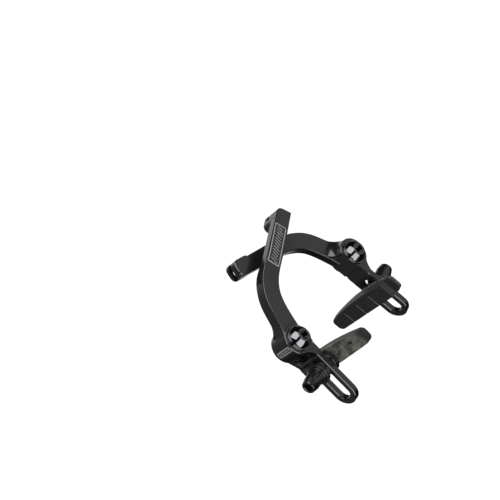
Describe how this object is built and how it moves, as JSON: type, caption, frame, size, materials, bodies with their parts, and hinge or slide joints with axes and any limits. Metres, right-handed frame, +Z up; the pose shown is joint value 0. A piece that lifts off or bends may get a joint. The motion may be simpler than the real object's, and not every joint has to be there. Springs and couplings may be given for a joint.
{
  "type": "bicycle u brake caliper",
  "caption": "Crossed-arm u brake caliper: forged arms on pivot bolts, with slotted plates, grooved pads on threaded studs and cable hooks at the tips.",
  "frame": {"origin": "midway between the two pivot axes, on the face of the frame that both bushings sit against", "axes": "+X from the left arm's pivot to the right arm's pivot, -Y the front with the bolt heads, +Z up towards the crossing of the arms"},
  "size_m": [0.1135, 0.0684, 0.1053],
  "materials": {
    "arm_paint": "satin",
    "pivot_hardware": "gloss",
    "pad_hardware": "gloss",
    "bushing_brass": "machined",
    "spring_steel": "drawn",
    "pad_rubber": "matt"
  },
  "bodies": {
    "pivots": {"pivot_bushing_left": "bushing_brass", "return_spring_left": "spring_steel", "pivot_washer_left": "pivot_hardware", "pivot_bolt_left": "pivot_hardware", "pivot_bushing_right": "bushing_brass", "return_spring_right": "spring_steel", "pivot_washer_right": "pivot_hardware", "pivot_bolt_right": "pivot_hardware"},
    "left_arm": {"arm_left": "arm_paint"},
    "left_hardware": {"inner_dome_washer_left": "pad_hardware", "inner_cup_washer_left": "pad_hardware", "outer_dome_washer_left": "pad_hardware", "outer_cup_washer_left": "pad_hardware", "flat_washer_left": "pad_hardware", "pad_nut_left": "pad_hardware"},
    "left_pad": {"pad_stud_left": "pad_hardware", "brake_pad_left": "pad_rubber"},
    "right_arm": {"arm_right": "arm_paint"},
    "right_hardware": {"inner_dome_washer_right": "pad_hardware", "inner_cup_washer_right": "pad_hardware", "outer_dome_washer_right": "pad_hardware", "outer_cup_washer_right": "pad_hardware", "flat_washer_right": "pad_hardware", "pad_nut_right": "pad_hardware"},
    "right_pad": {"pad_stud_right": "pad_hardware", "brake_pad_right": "pad_rubber"}
  },
  "joints": [
    {"name": "left_arm_pivot", "type": "hinge", "parent": "pivots", "child": "left_arm", "pos_m": [-0.04, 0, 0], "axis": [0, -1, 0], "range_deg": [0, 8], "stiffness_Nm_per_rad": 0.15, "springref_deg": -20.05},
    {"name": "right_arm_pivot", "type": "hinge", "parent": "pivots", "child": "right_arm", "pos_m": [0.04, 0, 0], "axis": [0, 1, 0], "range_deg": [0, 8], "stiffness_Nm_per_rad": 0.15, "springref_deg": -20.05},
    {"name": "left_pad_height", "type": "slide", "parent": "left_arm", "child": "left_hardware", "axis": [0.0698, 0, 0.9976], "range_m": [-0.018, 0.001]},
    {"name": "right_pad_height", "type": "slide", "parent": "right_arm", "child": "right_hardware", "axis": [-0.0698, 0, 0.9976], "range_m": [-0.0155, 0.0035]},
    {"name": "left_pad_turn", "type": "hinge", "parent": "left_hardware", "child": "left_pad", "pos_m": [-0.04165, -0.0079, -0.02354], "axis": [0.9976, 0, -0.0698], "range_deg": [-15, 15]},
    {"name": "right_pad_turn", "type": "hinge", "parent": "right_hardware", "child": "right_pad", "pos_m": [0.04182, -0.0079, -0.02604], "axis": [-0.9976, 0, -0.0698], "range_deg": [-15, 15]}
  ],
  "couplings": [
    {"joint": "right_arm_pivot", "follows": "left_arm_pivot", "ratio": 1}
  ]
}
